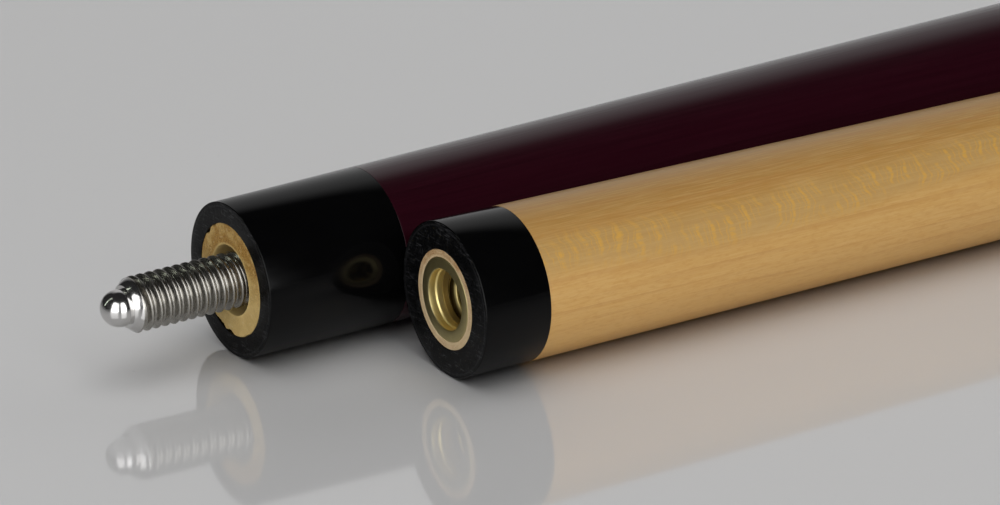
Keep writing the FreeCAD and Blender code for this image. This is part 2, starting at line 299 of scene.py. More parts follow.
def polished_steel():
    """Bright on the pin's nose, duller and streaked on its thread."""
    m = Finish("polished_steel", Metallic=1.0)
    streaks = m.noise(m.place((9, 0.6, 0.6)), detail=4.0)
    smear = m.noise(m.place(), scale=0.5)
    x = m.distance_along()
    nose_end = NOSE_LENGTH - PIN_REACH
    nose = m.mix(smear, (0.66, 0.65, 0.64), (0.78, 0.77, 0.76))
    thread = m.mix(smear, (0.34, 0.325, 0.295), (0.47, 0.455, 0.42))
    m.set(Base_Color=m.mix(m.span(x, nose_end - 0.1, nose_end), nose, thread),
          Roughness=m.math("ADD", m.span(streaks, 0.3, 0.7, 0.08, 0.2),
                           m.span(x, nose_end - 0.1, nose_end, 0.02, 0.12)),
          Normal=m.bump(streaks, distance=0.004, strength=0.5))
    return m.material


def machined_steel():
    m = Finish("machined_steel", Metallic=1.0)
    lines = m.noise(m.place((6, 1, 1)), scale=1.5, detail=4.0)
    m.set(Base_Color=m.mix(lines, (0.36, 0.36, 0.37), (0.5, 0.5, 0.51)),
          Roughness=m.span(lines, 0.3, 0.7, 0.28, 0.42),
          Normal=m.bump(lines, distance=0.01, strength=0.4))
    return m.material


def brass():
    """Turned brass: rings from the tool on its face and down its bore, a paler gold painted highlight in
    the bore, and painted shade in the thread grooves and funnel.
    """
    m = Finish("insert_brass", SHAFT, Metallic=1.0)
    x = m.distance_along()
    radius = m.distance_from_axis()
    tarnish = m.noise(m.place(), scale=0.9, detail=4.0)
    tooling = m.node("CombineXYZ", {0: m.math("MULTIPLY", radius, 9.0), 1: m.math("MULTIPLY", x, 7.0)})
    lines = m.noise(tooling, detail=2.0)
    # bore: share of painted highlight that turns the bore a paler gold; it also raises the bore's roughness
    # a little.
    bore = m.span(x, 0.03, 0.2)
    base = m.mix(tarnish, (0.5, 0.41, 0.18), (0.64, 0.55, 0.27))
    crest, depth = INSERT_BORE + 0.12, INSERT_BORE + 0.5
    # groove and funnel: painted shade, dark brown in the thread grooves and in the funnel.
    groove = m.math("MULTIPLY", m.span(x, THROAT_END, THROAT_END + 0.15),
                    m.span(radius, crest, depth, 0.25, 1.0))
    funnel = m.math("MULTIPLY", m.span(x, THROAT_END - 0.08, THROAT_END + 0.06),
                    m.span(x, FUNNEL_END + 0.3, FUNNEL_END + 0.1))
    base = m.mix(bore, base, (0.92, 0.76, 0.34))
    m.set(Base_Color=m.mix(m.math("MAXIMUM", groove, funnel), base, (0.14, 0.095, 0.03)),
          Roughness=m.math("ADD", m.span(lines, 0.3, 0.7, 0.32, 0.46), m.math("MULTIPLY", bore, 0.07)),
          Normal=m.bump(lines, distance=0.03, strength=0.6))
    return m.material


def black_gloss(name, tint=(0.001, 0.001, 0.0011), rough=0.085):
    m = Finish(name, IOR=1.27)
    haze = m.noise(m.place((0.4, 1, 1)), scale=0.35, detail=4.0)
    scratch = m.noise(m.place((0.25, 6, 6)), detail=2.0)
    lighter = tuple(c * 1.7 for c in tint)
    m.set(Base_Color=m.mix(haze, tint, lighter),
          Roughness=m.span(haze, 0.25, 0.75, rough, rough * 1.7),
          Normal=m.bump(scratch, distance=0.0015, strength=0.25))
    return m.material


def collar_face():
    """Turned end of a collar: faint rings from the tool, short scuffs across them, and a thin painted
    highlight ring just inside the rim.
    """
    m = Finish("black_collar_face", IOR=1.17)
    radius = m.distance_from_axis()
    rings = m.noise(m.node("CombineXYZ", {0: m.math("MULTIPLY", radius, 5.0)}))
    scuffs = m.noise(m.place((1, 2.5, 2.5)), scale=1.6, detail=5.0, rough=0.62, distort=0.6)
    scratches = m.noise(m.place((1, 0.5, 5.5)), distort=0.5)
    scratches = m.math("ADD", m.span(scratches, 0.56, 0.68),
                       m.span(m.noise(m.place((1, 5.0, 1.1), (4, 2, 7)), distort=0.5), 0.6, 0.7))
    worn = m.math("MULTIPLY", scratches, m.span(m.noise(m.place(), scale=0.35, detail=2.0), 0.36, 0.52))
    specks = m.span(m.noise(m.place(), scale=3.6, detail=2.0), 0.68, 0.75)
    # rim: painted highlight, a thin paler ring just inside the collar's rim.
    rim = m.math("MULTIPLY", m.span(radius, COLLAR_RADIUS - 0.75, COLLAR_RADIUS - 0.6),
                 m.span(radius, COLLAR_RADIUS - 0.4, COLLAR_RADIUS - 0.5))
    dark = m.mix(m.span(scuffs, 0.4, 0.75), (0.0022, 0.0023, 0.0026), (0.0042, 0.0043, 0.0048))
    dark = m.mix(m.math("MULTIPLY", worn, 0.85), dark, (0.05, 0.05, 0.053))
    # paler: the face colour with the painted highlight ring near the rim.
    paler = m.mix(m.math("MULTIPLY", rim, 0.45), dark, (0.03, 0.03, 0.032))
    m.set(Base_Color=m.mix(m.math("MULTIPLY", specks, 0.4), paler, (0.13, 0.10, 0.04)),
          Roughness=m.span(scuffs, 0.3, 0.7, 0.26, 0.33),
          Normal=m.bump(scuffs, distance=0.009, strength=0.3,
                        under=m.bump(rings, distance=0.012, strength=0.5)))
    return m.material


def growth_lines(m, across=1.0, shift=(0, 0, 0)):
    """Height of the growth lines that run along a turned piece: thin, long and slightly wandering."""
    wander = m.noise(m.place((0.0035, 0.10, 0.10), shift))
    _, y, z = m.parts(m.place((1, 1, 1), shift))
    depth = m.math("ADD", m.math("MULTIPLY", z, 0.42 * across), m.math("MULTIPLY", y, 0.2 * across))
    depth = m.math("ADD", depth, m.math("MULTIPLY", wander, 3.2))
    year = m.math("FRACT", depth)
    return m.math("POWER", year, 3.0)


def shaft_maple():
    """Clear-sealed hard maple: straight grain, brown growth lines, a band of curly figure, and painted
    shade that browns its upper side.
    """
    m = Finish("shaft_maple", SHAFT, IOR=1.42, Coat_Weight=0.35, Coat_Roughness=0.3)
    fibre = m.noise(m.place((0.16, 4.5, 4.5)), detail=5.0, rough=0.6)
    pores = m.noise(m.place((0.7, 2.6, 2.6), (5, 1, 2)), rough=0.6)
    cloud = m.noise(m.place((0.012, 0.13, 0.13)))
    faint = m.noise(m.place((0.05, 1.0, 1.0), (7, 3, 1)))
    line_share = m.math("MULTIPLY", growth_lines(m), m.span(faint, 0.38, 0.62, 0.05, 0.34))

    # Curly figure: short crescents across the grain, strongest along one side of the shaft.
    x, y, z = m.parts(m.place())
    angle = m.math("ARCTAN2", z, m.math("MULTIPLY", y, -1.0))
    sway = m.noise(m.place((0.02, 0.05, 0.05), (2, 5, 9)), detail=2.0)
    height = m.math("ADD", angle, m.span(sway, 0.3, 0.7, -0.12, 0.12, smooth=False))
    band = m.math("MULTIPLY", m.span(height, 0.28, 0.52), m.span(height, 1.02, 0.74))
    bend = m.math("SUBTRACT", height, 0.63)
    bow = m.math("MULTIPLY", m.math("MULTIPLY", bend, bend), 9.0)
    shove = m.noise(m.place((0.12, 0.22, 0.22), (1, 4, 2)))
    phase = m.math("ADD", m.math("ADD", x, bow), m.math("MULTIPLY", shove, 5.0))
    wide = m.math("SINE", m.math("MULTIPLY", phase, TURN / 2.5))
    narrow = m.math("SINE", m.math("MULTIPLY", phase, TURN / 0.83))
    wide = m.span(wide, 0.62, 1.0)
    narrow = m.math("MULTIPLY", m.span(narrow, 0.45, 1.0), 0.7)
    gaps = m.noise(m.place((0.2, 0.35, 0.35), (4, 2, 6)), detail=2.0)
    curl = m.math("MULTIPLY", m.math("MAXIMUM", wide, narrow), m.span(gaps, 0.34, 0.56))
    curl = m.math("MULTIPLY", curl, m.math("MULTIPLY", band, m.span(pores, 0.3, 0.58, 0.1, 1.0)))

    ground = m.mix(cloud, (0.58, 0.325, 0.092), (0.67, 0.395, 0.126))
    # Painted shade: a darker brown over the upper side of the shaft, by angle round its axis.
    painted_top_shade = m.math("MULTIPLY", m.span(height, -0.1, 1.2, 0.0, 0.85), m.span(height, 2.95, 2.1))
    ground = m.mix(painted_top_shade, ground, (0.39, 0.20, 0.042))
    ground = m.mix(m.span(fibre, 0.35, 0.7, 0.0, 0.36), ground, (0.70, 0.47, 0.19))
    ground = m.mix(m.span(pores, 0.45, 0.68, 0.0, 0.26), ground, (0.48, 0.22, 0.04))
    ground = m.mix(line_share, ground, (0.42, 0.175, 0.035))
    ground = m.mix(m.math("MULTIPLY", band, 0.45), ground, (0.47, 0.31, 0.12))
    ground = m.mix(m.math("MULTIPLY", curl, 0.9), ground, (0.64, 0.35, 0.06))
    m.set(Base_Color=ground,
          Roughness=m.span(fibre, 0.3, 0.7, 0.36, 0.52),
          Normal=m.bump(fibre, distance=0.012, strength=0.25))
    return m.material


def stained_maple():
    """Burgundy stain deep under gloss lacquer; the grain barely shows through."""
    m = Finish("stained_maple", Coat_Weight=1.0, Coat_IOR=1.25, Coat_Roughness=0.12,
               Specular_IOR_Level=0.14, Specular_Tint=(1.0, 0.25, 0.4, 1.0))
    fibre = m.noise(m.place((0.06, 3.0, 3.0)), detail=4.0)
    cloud = m.noise(m.place((0.01, 0.12, 0.12)))
    lines = growth_lines(m, 1.3, (11, 4, 6))
    stain = m.mix(cloud, (0.014, 0.0012, 0.0036), (0.021, 0.0018, 0.0056))
    stain = m.mix(m.math("MULTIPLY", lines, 0.4), stain, (0.010, 0.0009, 0.0026))
    ripple = m.noise(m.place((0.05, 0.25, 0.25), (3, 3, 3)), detail=1.0)
    m.set(Base_Color=m.mix(m.span(fibre, 0.35, 0.75, 0.0, 0.5), stain, (0.025, 0.002, 0.0062)),
          Roughness=m.span(fibre, 0.3, 0.7, 0.3, 0.42),
          Coat_Normal=m.bump(ripple, distance=0.01, strength=0.15))
    return m.material


def end_grain(name, dark, mid, pale, rim, scale=1.0):
    """Sawn and turned wood seen on its end: pores, torn fibres, smears of glue, a paler inner rim."""
    m = Finish(name, IOR=1.4)
    pores = m.noise(m.place((0.4, 1, 1)), scale=4.2 * scale, detail=4.0, rough=0.75)
    sparks = m.span(m.noise(m.place((0.4, 1, 1), (3, 8, 6)), scale=6.5 * scale, detail=2.0), 0.6, 0.7)
    patch = m.noise(m.place((0.4, 1, 1), (5, 1, 3)), scale=0.55 * scale)
    glue = m.span(m.noise(m.place((0.5, 1, 1), (9, 9, 2)), scale=1.1 * scale), 0.56, 0.68)
    wood = m.mix(m.span(pores, 0.36, 0.62), dark, mid)
    wood = m.mix(m.span(patch, 0.4, 0.68, 0.0, 0.5), wood, pale)
    radius = m.distance_from_axis()
    height = m.parts(m.place())[2]
    wood = m.mix(m.span(height, 5.0, -3.0, 0.0, 0.6), wood, pale)
    wood = m.mix(m.math("MULTIPLY", m.span(radius, rim + 0.5, rim + 0.15), 0.7), wood, pale)
    wood = m.mix(m.math("MULTIPLY", sparks, 0.65), wood, pale)
    m.set(Base_Color=m.mix(m.math("MULTIPLY", glue, 0.3), wood, pale),
          Roughness=m.span(glue, 0.0, 1.0, 0.75, 0.4),
          Normal=m.bump(pores, distance=0.12, strength=0.9))
    return m.material


def bare_maple():
    m = Finish("bare_maple", Roughness=0.6)
    fibre = m.noise(m.place((0.08, 2.5, 2.5)), detail=4.0)
    ground = m.mix(fibre, (0.5, 0.33, 0.17), (0.68, 0.5, 0.3))
    m.set(Base_Color=m.mix(m.math("MULTIPLY", growth_lines(m), 0.35), ground, (0.35, 0.19, 0.08)),
          Normal=m.bump(fibre, distance=0.03, strength=0.4))
    return m.material


def linen():
    """Pressed Irish linen cord, dark with pale flecks twisted into it."""
    m = Finish("linen_wrap", IOR=1.45, Sheen_Weight=0.25, Sheen_Roughness=0.5)
    x, y, z = m.parts(m.place())
    around = m.math("MULTIPLY", m.math("ARCTAN2", z, y), 14.0)
    slant = m.math("SUBTRACT", around, m.math("MULTIPLY", x, 2.0))
    twist = m.node("CombineXYZ", {0: m.math("MULTIPLY", x, 4.0), 1: slant})
    fibre = m.noise(twist, scale=1.4, detail=4.0, rough=0.65)
    fleck = m.span(m.noise(m.place((2.2, 1.2, 1.2))), 0.6, 0.7)
    ground = m.mix(fibre, (0.012, 0.011, 0.013), (0.045, 0.042, 0.046))
    m.set(Base_Color=m.mix(m.math("MULTIPLY", fleck, 0.5), ground, (0.24, 0.23, 0.22)),
          Roughness=m.span(fibre, 0.3, 0.7, 0.5, 0.75),
          Normal=m.bump(fibre, distance=0.06, strength=0.6))
    return m.material


def plastic(name, low, high, rough, grain=2.0):
    m = Finish(name, IOR=1.48)
    mottle = m.noise(m.place((0.6, 1, 1)), scale=grain, detail=4.0)
    m.set(Base_Color=m.mix(mottle, low, high),
          Roughness=m.span(mottle, 0.3, 0.7, rough, rough * 1.35),
          Normal=m.bump(mottle, distance=0.01, strength=0.3))
    return m.material


def rubber():
    m = Finish("bumper_rubber", IOR=1.5)
    pits = m.noise(m.place(), scale=5.0, rough=0.6)
    dust = m.noise(m.place(), scale=0.35, detail=4.0)
    m.set(Base_Color=m.mix(m.span(dust, 0.4, 0.75), (0.012, 0.012, 0.013), (0.035, 0.034, 0.034)),
          Roughness=m.span(pits, 0.3, 0.7, 0.6, 0.78),
          Normal=m.bump(pits, distance=0.04, strength=0.5))
    return m.material


def tip_leather():
    """Pressed leather, dusted with blue chalk that is thickest on the crown."""
    m = Finish("tip_leather", SHAFT, IOR=1.45)
    grain = m.noise(m.place(), scale=4.0, detail=5.0, rough=0.65)
    crown = m.span(m.distance_along(), CROWN_START - 1.6, CROWN_START + 0.6)
    patch = m.span(m.noise(m.place(), scale=2.8, detail=5.0, rough=0.6), 0.3, 0.6)
    leather = m.mix(grain, (0.10, 0.055, 0.03), (0.2, 0.12, 0.07))
    chalk = m.mix(grain, (0.08, 0.15, 0.25), (0.15, 0.24, 0.36))
    share = m.math("MULTIPLY", crown, m.math("ADD", m.math("MULTIPLY", patch, 0.35), 0.6))
    m.set(Base_Color=m.mix(share, leather, chalk),
          Roughness=m.span(grain, 0.3, 0.7, 0.75, 0.95),
          Normal=m.bump(grain, distance=0.06, strength=0.7))
    return m.material


def floor_finish():
    """Pale board, polished near the joint and matt further out."""
    m = Finish("studio_floor", IOR=2.0)
    where = m.where()
    x, y, _ = m.parts(where)
    off_x, off_y = m.math("SUBTRACT", x, SHAFT.translation.x), m.math("SUBTRACT", y, SHAFT.translation.y)
    away_squared = m.math("ADD", m.math("MULTIPLY", off_x, off_x), m.math("MULTIPLY", off_y, off_y))
    polish = m.span(away_squared, 0.7, 0.02)
    cloud = m.noise(where, scale=3.0)
    dust = m.span(m.noise(where, scale=900.0, detail=2.0), 0.74, 0.8)
    ground = m.mix(cloud, (0.78, 0.775, 0.775), (0.805, 0.80, 0.80))
    ground = m.mix(polish, (0.69, 0.685, 0.685), ground)
    m.set(Base_Color=m.mix(m.math("MULTIPLY", dust, 0.12), ground, (0.3, 0.3, 0.3)),
          Roughness=m.math("ADD", m.span(cloud, 0.3, 0.7, 0.05, 0.075), m.span(polish, 0.0, 1.0, 0.6, 0.0)),
          Specular_IOR_Level=m.span(polish, 0.0, 1.0, 0.08, 0.5))
    return m.material


STEEL = polished_steel()
PLAIN_STEEL = machined_steel()
BRASS = brass()
COLLAR_SIDE = black_gloss("black_collar")
COLLAR_FACE = collar_face()
TRIM = black_gloss("black_trim", (0.005, 0.005, 0.0055), 0.12)
STAINED = stained_maple()
CORE_END = end_grain("core_end_grain", (0.29, 0.125, 0.022), (0.57, 0.33, 0.075), (0.84, 0.63, 0.26),
                     WELL_RADIUS)
TENON_END = end_grain("tenon_end_grain", (0.42, 0.19, 0.07), (0.62, 0.41, 0.20), (0.80, 0.62, 0.37),
                      INSERT_RADIUS, 1.3)
MAPLE = shaft_maple()
BARE = bare_maple()
LINEN = linen()
PALE_TRIM = plastic("pale_trim", (0.55, 0.52, 0.45), (0.66, 0.64, 0.58), 0.2)
FERRULE = plastic("ferrule_white", (0.74, 0.72, 0.66), (0.82, 0.81, 0.76), 0.3)
PAD = plastic("pad_fibre", (0.03, 0.03, 0.034), (0.07, 0.07, 0.075), 0.6, 6.0)
RUBBER = rubber()
LEATHER = tip_leather()


# ---------------------------------------- turned pieces


def rounded(outline, steps=5):
    """Corner points given as (x, r, fillet) become short arcs; other points stay."""
    points = []
    for i, corner in enumerate(outline):
        here = Vector(corner[:2])
        fillet = corner[2] if len(corner) > 2 else 0.0
        if not fillet:
            points.append(tuple(here))
            continue
        before = (Vector(outline[i - 1][:2]) - here).normalized()
        after = (Vector(outline[(i + 1) % len(outline)][:2]) - here).normalized()
        half_angle = before.angle(after) / 2
        reach = fillet / math.tan(half_angle)
        centre = here + (before + after).normalized() * fillet / math.sin(half_angle)
        first, last = here + before * reach - centre, here + after * reach - centre
        for step in range(steps + 1):
            blend = first.slerp(last, step / steps)
            points.append(tuple(centre + blend.normalized() * fillet))
    return points


def span_points(start, end, steps):
    """Points from start up to, and without, end."""
    return [tuple(Vector(start).lerp(Vector(end), i / steps)) for i in range(steps)]


def on_ring(x, radius, angle):
    """Point at that angle from the top, counted the way a right-hand screw turns about +X."""
    return x, -radius * math.sin(angle), radius * math.cos(angle)


def lathe(mesh, outline, segments, paint=None, closed=True, offset=None):
    """Turn an outline of (x, r) about X into mesh.

    paint(x, r) picks each strip's material, and offset(x, r, angle) gives each point's (dx, dr).
    """
    rings = []
    for x, r in outline:
        if r < 1e-6:
            rings.append([mesh.verts.new((x, 0, 0))])
            continue
        ring = []
        for k in range(segments):
            angle = TURN * k / segments
            dx, dr = offset(x, r, angle) if offset else (0.0, 0.0)
            ring.append(mesh.verts.new(on_ring(x + dx, r + dr, angle)))
        rings.append(ring)
    for i in range(len(rings) if closed else len(rings) - 1):
        j = (i + 1) % len(rings)
        a, b = rings[i], rings[j]
        if len(a) == 1 and len(b) == 1:
            continue
        index = 0
        if paint:
            index = paint((outline[i][0] + outline[j][0]) / 2, (outline[i][1] + outline[j][1]) / 2)
        for k in range(segments):
            n = (k + 1) % segments
            corners = [a[k % len(a)], a[n % len(a)], b[n % len(b)], b[k % len(b)]]
            unique = list(dict.fromkeys(corners))
            mesh.faces.new(unique).material_index = index


def new_object(name, mesh, materials):
    """Object in the scene, made from a bmesh that is then freed."""
    data = bpy.data.meshes.new(name)
    mesh.to_mesh(data)
    mesh.free()
    for material in materials:
        data.materials.append(material)
    made = bpy.data.objects.new(name, data)
    bpy.context.scene.collection.objects.link(made)
    return made


def finish_piece(name, mesh, half, body, nodes, materials, sharp=32):
    """Make the half's mesh an object that rides on its body in place of its CAD nodes.

    Its axes are the shared frame's, so that its box is upright; its origin is the half's.
    """
    bmesh.ops.recalc_face_normals(mesh, faces=mesh.faces)
    turn = half.to_3x3() * MM
    for vertex in mesh.verts:
        vertex.co = turn @ vertex.co
    piece = new_object(name, mesh, materials)
    piece.data.shade_smooth()
    piece.data.set_sharp_from_angle(angle=math.radians(sharp))
    piece.matrix_world = Matrix.Translation(half.translation)
    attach(piece, body)
    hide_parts(*nodes)


def turned(node, half, body, outline, materials, segments, paint=None, offset=None):
    """Turn a closed outline into the piece that replaces one CAD node."""
    mesh = bmesh.new()
    lathe(mesh, rounded(outline), segments, paint, offset=offset)
    finish_piece(f"{node}_turned", mesh, half, body, [node], materials)


def skin_helix(mesh, rows, per_turn):
    """Faces between rows that each go once round: a row's end meets the row per_turn further on."""
    for i, row in enumerate(rows[:-1]):
        for k in range(len(row) - 1):
            mesh.faces.new((row[k], row[k + 1], rows[i + 1][k + 1], rows[i + 1][k]))
        if i + per_turn + 1 < len(rows):
            mesh.faces.new((row[-1], rows[i + per_turn][0], rows[i + per_turn + 1][0], rows[i + 1][-1]))


def screw_surface(start, end, section, limit, phase):
    """Threaded tube from start to end, open at both. Along its top, a groove's middle is at phase.

    section(u) is its radius u pitches from a groove's middle, and limit(x, radius) trims that.
    """
    first = math.floor((start - phase) / PITCH) - 2
    last = math.ceil((end - phase) / PITCH) + 1
    part = bmesh.new()
    rows = []
    for i in range((last - first) * THREAD_STEPS + 1):
        u = first + i / THREAD_STEPS
        row = []
        for k in range(THREAD_SEGMENTS):
            x = phase + PITCH * (u + k / THREAD_SEGMENTS)
            point = on_ring(x, limit(x, section(u % 1.0)), TURN * k / THREAD_SEGMENTS)
            row.append(part.verts.new(point))
        rows.append(row)
    skin_helix(part, rows, THREAD_STEPS)
    for x, side in ((start, -1), (end, 1)):
        everything = part.verts[:] + part.edges[:] + part.faces[:]
        bmesh.ops.bisect_plane(part, geom=everything, plane_co=(x, 0, 0), plane_no=(side, 0, 0),
                               clear_outer=True)
    return part


def merge(mesh, part):
    """Add part's geometry to mesh."""
    data = bpy.data.meshes.new("part")
    part.to_mesh(data)
    part.free()
    mesh.from_mesh(data)
    bpy.data.meshes.remove(data)


def cap_open_ends(part):
    """Close what is open: the second step takes the slivers that the first one leaves."""
    bmesh.ops.holes_fill(part, edges=[edge for edge in part.edges if edge.is_boundary])
    bmesh.ops.triangle_fill(part, edges=[edge for edge in part.edges if edge.is_boundary])


def pin_section(u):
    """Pin's radius across one pitch, from the middle of one groove to the next."""
    distance = min(u, 1.0 - u) * PITCH
    flank = THREAD_ROOT + (distance - ROOT_FLAT / 2) / FLANK
    root_ease = 0.07
    crest_ease = root_ease * 0.6
    low = max(flank, THREAD_ROOT) + root_ease * math.exp(-abs(flank - THREAD_ROOT) / root_ease)
    return min(low, THREAD_RADIUS - crest_ease * math.exp(-abs(flank - THREAD_RADIUS) / crest_ease))


def clamped(share):
    return min(max(share, 0.0), 1.0)


def make_pin():
    """Steel joint pin: ball nose, notch, cone, thread with a relief groove, and its hidden shank."""
    mesh = bmesh.new()
    nose = -PIN_REACH + NOSE_LENGTH
    ball = -PIN_REACH + BALL_RADIUS
    cone = nose - NOSE_DEPTH
    under_thread = THREAD_RADIUS - 0.1
    nose_foot = nose + 0.2
    steps = 22
    reach = math.acos(NECK_RADIUS / BALL_RADIUS)
    profile = []
    for i in range(steps + 1):
        angle = (math.pi / 2 + reach) * i / steps
        profile.append((ball - BALL_RADIUS * math.cos(angle), BALL_RADIUS * math.sin(angle)))
    profile[0] = (-PIN_REACH, 0.0)
    profile[-1] = (profile[-1][0], NECK_RADIUS)
    profile += rounded([(cone - 0.02, NECK_RADIUS), (cone, NOSE_RADIUS, 0.12),
                        (nose - 0.05, under_thread), (nose_foot, under_thread)], 4)
    profile.append((nose_foot, 0.0))
    lathe(mesh, profile, THREAD_SEGMENTS, closed=False)

    def thread_limit(x, radius):
        lead = NOSE_RADIUS + (x - cone) * (THREAD_RADIUS - NOSE_RADIUS) / NOSE_DEPTH
        fade_in = clamped((x + THREAD_START + 1.0) / 0.9)
        fade_out = clamped((RELIEF_START + 0.4 - x) / 0.5)
        cut = THREAD_RADIUS + (radius - THREAD_RADIUS) * min(fade_in, fade_out)
        return min(cut, lead)

    thread = screw_surface(nose - 0.04, RELIEF_START, pin_section, thread_limit, -THREAD_START)
    cap_open_ends(thread)
    merge(mesh, thread)
    seat = WELL_DEPTH - GAP
    tucked = RELIEF_START - 0.02
    lathe(mesh, rounded([(tucked, 0.0), (tucked, RELIEF_RADIUS), (RELIEF_END, RELIEF_RADIUS),
                         (RELIEF_END, THREAD_RADIUS, 0.08), (seat, THREAD_RADIUS), (seat, SHANK_RADIUS),
                         (SHANK_END - 1, SHANK_RADIUS), (SHANK_END, SHANK_RADIUS - 1), (SHANK_END, 0.0)]),
          THREAD_SEGMENTS, closed=False)
    finish_piece("joint_pin_threaded", mesh, BUTT, "butt_half", ["joint_pin"],
                 [STEEL], 40)


def insert_section(u):
    """Insert's radius across one pitch, from the middle of one groove to the next."""
    distance = min(u, 1.0 - u) * PITCH
    groove_half = (PITCH - ROOT_FLAT - 2 * (THREAD_RADIUS - THREAD_ROOT) * FLANK) / 2 + THREAD_PLAY
    root = THREAD_RADIUS + THREAD_PLAY
    flank = THREAD_RADIUS - (distance - groove_half) / FLANK
    ease = 0.04
    return max(min(root, flank), INSERT_BORE + ease * math.exp(-abs(flank - INSERT_BORE) / ease))


def make_insert():
    """Brass insert: pilot, step, throat, funnel, internal thread, and room for the pin's nose behind it."""
    mesh = bmesh.new()

    def thread_limit(x, radius):
        slope = (THROAT_RADIUS - INSERT_BORE) / (FUNNEL_END - THROAT_END)
        funnel = THROAT_RADIUS - min(x - THROAT_END, max(NOSE_ROOM_START - x, 0.0)) * slope
        return min(max(radius, funnel), THROAT_RADIUS)

    # Screwed home, with the halves SEATED_TURN apart, the insert's grooves lie over the pin's crests.
    phase = THREAD_START - GAP - (SEATED_PITCHES - SEATED_TURN) * PITCH
    merge(mesh, screw_surface(THROAT_END, INSERT_LENGTH, insert_section, thread_limit, phase))
    lathe(mesh, rounded([(THROAT_END, THROAT_RADIUS), (THROAT_START, THROAT_RADIUS, 0.03),
                         (PILOT_DEPTH, PILOT_RADIUS), (0.0, PILOT_RADIUS, 0.14), (0.0, INSERT_RADIUS, 0.1),
                         (INSERT_LENGTH, INSERT_RADIUS), (INSERT_LENGTH, THROAT_RADIUS)], 4),
          THREAD_SEGMENTS, closed=False)
    bmesh.ops.remove_doubles(mesh, verts=mesh.verts, dist=0.002)
    cap_open_ends(mesh)
    finish_piece("shaft_insert_threaded", mesh, SHAFT, "shaft_half", ["shaft_insert"],
                 [BRASS], 40)


def make_collars():
    """Black collars of the two halves, each with a broken rim and a face of its own material."""
    def side_or_face(x, r):
        return 1 if x < 0.02 and r < COLLAR_RADIUS - RIM_BREAK * 0.9 else 0

    shaft_end_radius = COLLAR_RADIUS - SHAFT_COLLAR_END * SHAFT_SLOPE
    for node, half, body, bore, end, end_radius in (
            ("butt_joint_collar", BUTT, "butt_half", CORE_RADIUS + GAP, BUTT_COLLAR_END,
             butt_radius(BUTT_COLLAR_END)),
            ("shaft_joint_collar", SHAFT, "shaft_half", TENON_RADIUS + GAP, SHAFT_COLLAR_END,
             shaft_end_radius)):
        turned(node, half, body, [
            (0.0, bore, 0.05), (0.0, COLLAR_RADIUS, RIM_BREAK), (end, end_radius, 0.03), (end, bore)],
            [COLLAR_SIDE, COLLAR_FACE], FACE_SEGMENTS, side_or_face)


def bare_end(shoulder, radius):
    """Paint that gives the second material to the bare wood in front of the shoulder."""
    return lambda x, r: 1 if x < shoulder - 0.5 and r < radius + 0.01 else 0


def rough_face(depth, rim, seed, chips=()):
    """Small hollows over a wood face near x = 0, and chips (degrees, depth, width) out of its rim."""
    def offset(x, r, angle):
        if x > ROUGH_DEPTH:
            return 0.0, 0.0
        place = Vector((r * math.cos(angle), r * math.sin(angle), seed))
        grain = noise.noise(place * 2.3) * 0.6 + noise.noise(place * 5.1) * 0.4
        fade = 1.0 if x < 0.12 else 1.0 - x / ROUGH_DEPTH
        bite = 0.0
        for degrees, size, width in chips:
            away = (math.degrees(angle) - degrees + 180) % 360 - 180
            bite += size * math.exp(-(away / width) ** 4)
        near_rim = max(0.0, 1.0 - (rim - r) / 1.1)
        ragged = 1.0 + 0.5 * noise.noise(place * 3.1)
        return fade * depth * (0.5 + grain), -fade * near_rim * bite * ragged
    return offset


def make_forearm():
    """Stained forearm with its bare core, which shows as a wood ring inside the collar."""
    chips = [(-46, 0.4, 5), (67, 0.6, 5), (82, 0.15, 4), (184, 0.45, 6), (203, 0.35, 8), (222, 0.25, 5),
             (-30, 0.15, 3), (20, 0.12, 4), (150, 0.12, 5)]
    shoulder = BUTT_COLLAR_END + GAP
    taper_start = 60.0
    lip, break_size = 0.1, 0.03
    edge = FOREARM_END - lip
    shank_floor, stud_floor = SHANK_END + 1, STUD_START - 1
    outline = [*span_points((WELL_DEPTH, WELL_RADIUS), (lip, WELL_RADIUS), 24),
               *span_points((0.0, WELL_RADIUS + lip), (0.0, CORE_RADIUS - lip), 34),
               (0.0, CORE_RADIUS - lip), (lip, CORE_RADIUS), (ROUGH_DEPTH, CORE_RADIUS),
               (shoulder, CORE_RADIUS), (shoulder, butt_radius(shoulder) - break_size),
               (shoulder + break_size, butt_radius(shoulder)),
               *span_points((taper_start, butt_radius(taper_start)), (edge, butt_radius(edge)), 8),
               (edge, butt_radius(edge)), (FOREARM_END, butt_radius(FOREARM_END, lip)),
               (FOREARM_END, STUD_RADIUS + GAP), (stud_floor, STUD_RADIUS + GAP), (stud_floor, 0.0),
               (shank_floor, 0.0), (shank_floor, SHANK_RADIUS + GAP), (WELL_DEPTH, SHANK_RADIUS + GAP)]
    turned("forearm", BUTT, "butt_half", outline, [STAINED, CORE_END], FACE_SEGMENTS,
           bare_end(shoulder, CORE_RADIUS), rough_face(0.05, CORE_RADIUS, 3.7, chips))


